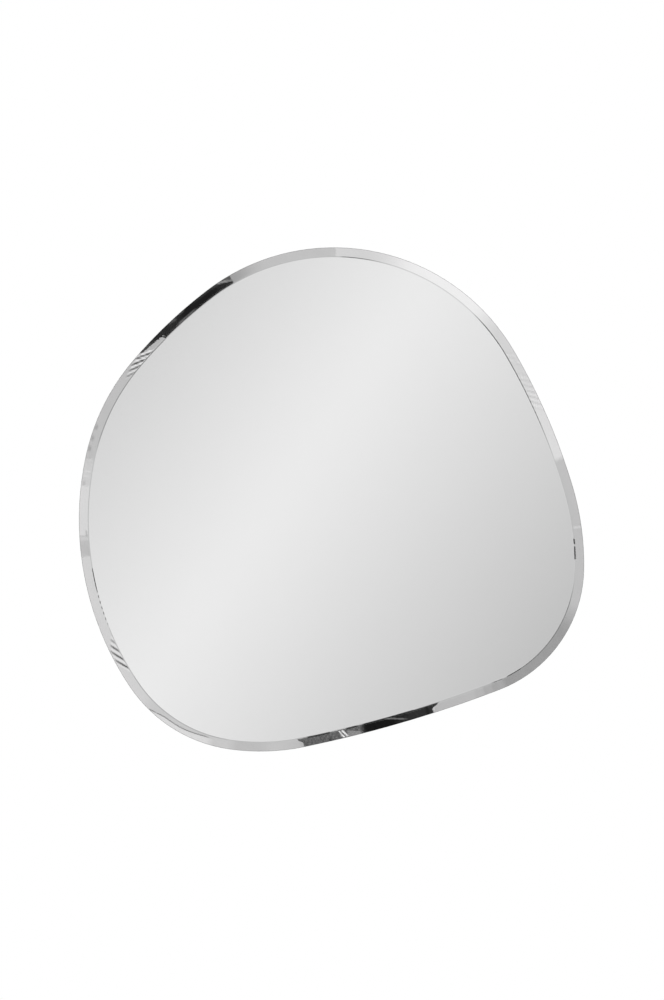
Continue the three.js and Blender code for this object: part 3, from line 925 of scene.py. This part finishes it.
def volume_of(mesh):
    """Cubic centimetres inside: a sixth of a . (b x c) over the triangles, above 0 if they face outwards."""
    mesh.calc_loop_triangles()
    places = np.empty(3 * len(mesh.vertices))
    order = np.empty(3 * len(mesh.loop_triangles), np.int32)
    mesh.vertices.foreach_get("co", places)
    mesh.loop_triangles.foreach_get("vertices", order)
    corners = places.reshape(-1, 3)[order].reshape(-1, 3, 3)
    return round(float(np.linalg.det(corners).sum()) / 6 * 1e6, 3)


def fit(mesh, node, place, material, body="mirror"):
    """Puts a copy of a mesh at a place, where it stands for a CAD node and wears a finish."""
    name = node.replace("hanger_ring", "wire_ring").replace("hanger_", "").replace("bumper", "foot")
    made = placed(name, mesh.copy())
    made.data.transform(Matrix.Translation(place))
    stand_for(node, made, body)
    dress(made, material)
    return made


# %% Rubber bumpers
def turned(corners, radii, around=64):
    """Rings of a rounded profile (radius, y) turned about the Y axis, from its front end to its back."""
    profile, _ = rounded_profile(corners, radii)
    return upright(facing(full_turn(around)) * profile[:, None, :1], profile[:, 1:])


END, DIMPLE = 6.0, 5.1  # mm over the board: the bumper's end, and the floor of its dimple
corners = [(4, 0), (10, 0), (8.67, END), (3.0, END), (2.4, DIMPLE), (0.6, DIMPLE)]
bumper = skin("bumper", turned(corners, radii=[0.25, 1.5, 0.35, -0.4]))
print("bumper:", volume_of(bumper), "cm3")
for node in [name for name in nodes if name.startswith("bumper")]:
    low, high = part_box(node)
    fit(bumper, node, ((low.x + high.x) / 2, low.y, (low.z + high.z) / 2), rubber)

# %% [markdown]
# ## D-rings
#
# A ring is wire bent on a jig: a straight bar, two tight corners and a wide bow. The way it faces in its own
# plane turns steadily through each bend and stands still along the straights, so the path is three arcs and
# the straights come by themselves. The section is a circle across that path. The ring leans on the board.

# %% Wire bent to a D
WIRE, RING_HALF, RING_RISE, RING_CORNER = 1.25, 14.0, 18.0, 3.0  # mm, to the middle of the wire
CLEARANCE, GAUGE = 0.3, 1.0  # mm: the play round the bar, and the strap's thickness
pivot_out = WIRE + CLEARANCE + GAUGE
lean = math.asin((pivot_out - WIRE - CLEARANCE) / RING_RISE)
pivots = {joint["child"]: joint["pos_m"] for joint in frame["record"]["behaviour"]["joints"]}


def bent_wire():
    """Centre of the bend + facing * (radius + wire * cos s), and wire * sin s out of its plane, leant."""
    corner = RING_HALF - RING_CORNER
    bends = (  # centre, radius, first and last angle, points
        (corner, RING_CORNER, RING_CORNER, -90, 0, 13),
        (0, RING_RISE - RING_HALF, RING_HALF, 0, 180, 73),
        (-corner, RING_CORNER, RING_CORNER, 180, 270, 13),
    )
    steps = [bend[5] for bend in bends]
    turn = np.radians(np.concatenate([np.linspace(*bend[3:]) for bend in bends]))
    centre = np.repeat([bend[:2] for bend in bends], steps, axis=0)
    radius = np.repeat([bend[2] for bend in bends], steps)
    section = -full_turn(24)
    flat = centre[:, None] + facing(turn)[:, None] * (radius[:, None] + WIRE * np.cos(section))[..., None]
    out, (x, up) = WIRE * np.sin(section), np.moveaxis(flat, -1, 0)
    y, z = out * math.cos(lean) - up * math.sin(lean), out * math.sin(lean) + up * math.cos(lean)
    return np.stack([x, y, z], -1)


ring = skin("wire_ring", bent_wire(), closed=True)
print("ring:", volume_of(ring), "cm3")
for side in ("left", "right"):
    fit(ring, f"hanger_ring_{side}", pivots[f"ring_{side}"], wire_zinc, body=f"ring_{side}")

# %% [markdown]
# ## Straps
#
# A strap is a strip of steel folded round the ring's bar. Its middle line runs up the lower layer, round the
# loop and through an S-bend down on to the upper layer, and a small rounded rectangle is carried along it.
# The strip was stamped, so its tail has round corners and its edges are a little soft. A Boolean modifier,
# used up at once, cuts the screw holes.

# %% The folded line
STRAP_LENGTH, STRAP_WIDTH, TAIL_CORNER, FOLD_GAP, SOFT_EDGE = 40.0, 16.0, 4.0, 0.3, 0.2  # mm
loop_radius = pivot_out - GAUGE / 2
upper = GAUGE + FOLD_GAP + GAUGE / 2  # the middle of the upper layer, over the board
bend = math.acos(1 - (pivot_out + loop_radius - upper) / (2 * loop_radius))
foot_of_bend = (-2 * loop_radius * math.sin(bend), upper + loop_radius)
from_tail = np.array([0, 0.02, 0.08, 0.2, 0.5, 0.9, 1.4, 2.0, 2.6, 3.3, 4.0])


def folded_line():
    """Points (z, y), headings and distances from the nearer tail, along the middle of the strip.

    On an arc a point is its centre plus radius * (sin, -cos) of the heading, or minus to bend it back."""
    tail = np.stack([from_tail - STRAP_LENGTH, np.full(len(from_tail), GAUGE / 2)], -1)
    loop = np.linspace(0, math.pi + bend, 40)
    back = np.linspace(math.pi + bend, math.pi, 12)[1:]
    points = [
        tail,
        [0, pivot_out] + loop_radius * side_of(loop),
        foot_of_bend - loop_radius * side_of(back),
        np.stack([tail[::-1, 0], np.full(len(from_tail), upper)], -1),
    ]
    headings = [from_tail * 0, loop, back, from_tail * 0 + math.pi]
    distance = [from_tail, loop * 0 + STRAP_LENGTH, back * 0 + STRAP_LENGTH, from_tail[::-1]]
    return np.concatenate(points), np.concatenate(headings), np.concatenate(distance)


def folded_strip():
    """Rings of a rounded rectangle across the folded line, narrower and thinner in its last millimetres."""
    line, heading, distance = folded_line()
    past_corner = 1 - np.minimum(distance / TAIL_CORNER, 1)
    half = STRAP_WIDTH / 2 - TAIL_CORNER + TAIL_CORNER * np.sqrt(1 - past_corner**2)
    past_edge = 1 - np.minimum(distance / SOFT_EDGE, 1)
    thick = GAUGE / 2 - SOFT_EDGE * (1 - np.sqrt(1 - past_edge**2))
    turn = np.radians([a for corner in (90, 0, -90, -180) for a in np.linspace(corner, corner - 90, 5)])
    side, face = np.sign(facing(turn[2::5])).repeat(5, axis=0).T
    across = side * (half[:, None] - SOFT_EDGE) + SOFT_EDGE * np.cos(turn)
    out = face * (thick[:, None] - SOFT_EDGE) + SOFT_EDGE * np.sin(turn)
    z = line[:, :1] - out * np.sin(heading)[:, None]
    y = line[:, 1:] + out * np.cos(heading)[:, None]
    return np.stack([across, y, z], -1)


# %% Straps with their screw holes
SCREW_DROPS = {"upper": 12.0, "lower": 31.0}  # below the ring's pivot, mm
SHANK = 1.75  # radius over the thread, mm


def drilled(mesh, holes, radius, first, last):
    """The mesh less a round hole along Y, from y first to last, at each (x, z)."""
    blank, drills = placed("blank", mesh), []
    for x, z in holes:
        corners = [(radius / 2, first), (radius, first), (radius, last), (radius / 2, last)]
        rings = turned(corners, [0.01, 0.01], around=48)
        drills.append(placed("drill", skin("drill", rings + [x, 0, z])))
        cut = blank.modifiers.new("hole", "BOOLEAN")
        cut.operation, cut.solver, cut.object = "DIFFERENCE", "EXACT", drills[-1]
    result = bpy.data.meshes.new_from_object(blank.evaluated_get(bpy.context.evaluated_depsgraph_get()))
    for used in (blank, *drills):
        bpy.data.objects.remove(used)
    result.set_sharp_from_angle(angle=SHARP)
    return result


holes = [(0, -drop) for drop in SCREW_DROPS.values()]
strap = drilled(skin("strap", folded_strip()), holes, SHANK + CLEARANCE, first=-1, last=4)
print("strap:", volume_of(strap), "cm3,", len(strap.polygons), "faces")
for side in ("left", "right"):
    x, _, z = pivots[f"ring_{side}"]
    made = fit(strap, f"hanger_strap_{side}", (x, board_high.y, z), strip_zinc)
    made.modifiers.new("flat_faces_rule", "WEIGHTED_NORMAL").keep_sharp = True

# %% [markdown]
# ## Screws
#
# A pan head wood screw has a point, a shank with a thread, and a domed head with a cross recess. The cross's
# edge has one distance from the middle for each direction: the shorter of the ways to the arm's end and to
# its side. The rings of the dome shrink on to that line, drop down the recess's tapering wall and close on
# its floor. Nobody lines up screws, so each one is turned by an angle of its own.

# %% Threaded shank and domed head
SHANK_LENGTH, POINT, CORE, PITCH = 9.5, 2.5, 1.2, 1.4  # mm, with the radius under the thread
HEAD, HEAD_RIM, HEAD_HEIGHT = 3.4, 0.7, 2.0
ARM, ARM_HALF_WIDTH, RECESS = 1.8, 0.4, 1.1


def wood_screw():
    """Rings round the Y axis from the point to the floor of the recess, with the head's underside at y = 0.

    The thread adds a ridge where height / pitch - turn / full turn is near a half, beyond whole numbers."""
    quarter = [*np.arange(0, 90, 3.75), *np.degrees(np.arctan2([ARM_HALF_WIDTH, ARM], [ARM, ARM_HALF_WIDTH]))]
    turn = np.radians(np.unique(np.add.outer([0, 90, 180, 270], quarter)))
    height = np.linspace(0, SHANK_LENGTH - 0.05, 80)[:, None]
    wave = np.abs((height / PITCH - turn / (2 * np.pi)) % 1 - 0.5) * 2
    ridge = np.clip(1 - wave / 0.4, 0, 1) * np.clip((SHANK_LENGTH - 1 - height) / 1, 0, 1)
    taper = np.clip(height / POINT, 0.04, 1)
    rings = [((CORE + (SHANK - CORE) * ridge) * taper, height - SHANK_LENGTH)]
    rings += [(CORE, 0), (HEAD - 0.15, 0), (HEAD - 0.04, 0.04), (HEAD, 0.15)]
    from_axis = np.abs((turn + np.pi / 4) % (np.pi / 2) - np.pi / 4)
    edge = np.minimum(ARM / np.cos(from_axis), ARM_HALF_WIDTH / np.maximum(np.sin(from_axis), 1e-6))
    climb = np.linspace(0, 1, 12)[:, None] * np.arccos(edge / HEAD)
    dome = HEAD_RIM + (HEAD_HEIGHT - HEAD_RIM) * np.sin(climb)
    rings.append((HEAD * np.cos(climb), dome))
    for share, drop in ((0.97, 0.06), (0.8, RECESS - 0.08), (0.74, RECESS), (0.3, RECESS)):
        rings.append((edge * share, np.minimum(dome[-1], HEAD_HEIGHT - drop)))
    radius, y = [np.concatenate([np.atleast_2d(ring[i] + turn * 0) for ring in rings]) for i in (0, 1)]
    return upright(facing(turn) * radius[..., None], y)


screw = skin("screw", wood_screw())
print("screw:", volume_of(screw), "cm3,", len(screw.polygons), "faces")
strap_top = (upper + GAUGE / 2) * MM
SCREW_TURNS = {"left_upper": 12, "left_lower": 71, "right_upper": 38, "right_lower": 55}  # degrees
for name, degrees in SCREW_TURNS.items():
    side, level = name.split("_")
    x, _, z = pivots[f"ring_{side}"]
    own = screw.copy()
    own.transform(Matrix.Rotation(math.radians(degrees), 4, "Y"))
    place = (x, board_high.y + strap_top, z - SCREW_DROPS[level] * MM)
    fit(own, f"hanger_screw_{name}", place, screw_zinc)

# %% [markdown]
# ## Floor and lamps
#
# The mirror hangs free over a plain pale floor, out of the main picture. Towards its edge the floor fades
# away, for the camera and for mirrors, so that it has no horizon. Large soft lamps in front and behind give
# the plain parts some shape. They stay hidden from mirror rays, because the studio above already holds what
# the mirror shows.

# %% The floor
FLOOR_HEIGHT, FLOOR_RADIUS, FLOOR_SIDES = -1.1, 2.2, 96
disc = np.insert(facing(full_turn(FLOOR_SIDES)) * FLOOR_RADIUS, 2, FLOOR_HEIGHT, axis=1)
floor = placed("floor", smooth_mesh("floor", disc, [list(range(FLOOR_SIDES))]))
pale, start = new_finish("pale_floor")
base = coloured((240, 240, 239), (246, 246, 245), noise(start, 3, 2))
body = start.node("BsdfPrincipled", inputs={"Base Color": base, "Roughness": 0.9})
x, y, _ = start.node("TexCoord", out="Object").parts()
from_middle = (x * x + y * y).math("SQRT")
seen, mirrored = ray_kinds(start)
fade = from_middle.rise(0.45 * FLOOR_RADIUS, 0.98 * FLOOR_RADIUS) * seen.math("MAXIMUM", mirrored)
body = start.node("MixShader", inputs={0: fade, 1: body, 2: start.node("BsdfTransparent")})
start.node("OutputMaterial", inputs={"Surface": body})
dress(floor, pale)


# %% Soft lamps
def soft_lamp(name, place, width, watts):
    """A square area lamp that looks at the mirror's middle and doesn't show in mirrors."""
    lamp = placed(name, bpy.data.lights.new(name, "AREA"))
    lamp.data.size, lamp.data.energy = width, watts
    lamp.location = place
    lamp.rotation_euler = (-lamp.location).to_track_quat("-Z", "Y").to_euler()
    lamp.visible_glossy = lamp.visible_transmission = lamp.visible_camera = False


soft_lamp("front_left_lamp", (-2.5, -3.0, 2.2), 2.0, 55)
soft_lamp("back_left_lamp", (2.2, 3.0, 2.4), 2.0, 70)  # left and right as seen from behind
soft_lamp("back_right_lamp", (-3.0, 2.4, 0.6), 1.6, 25)
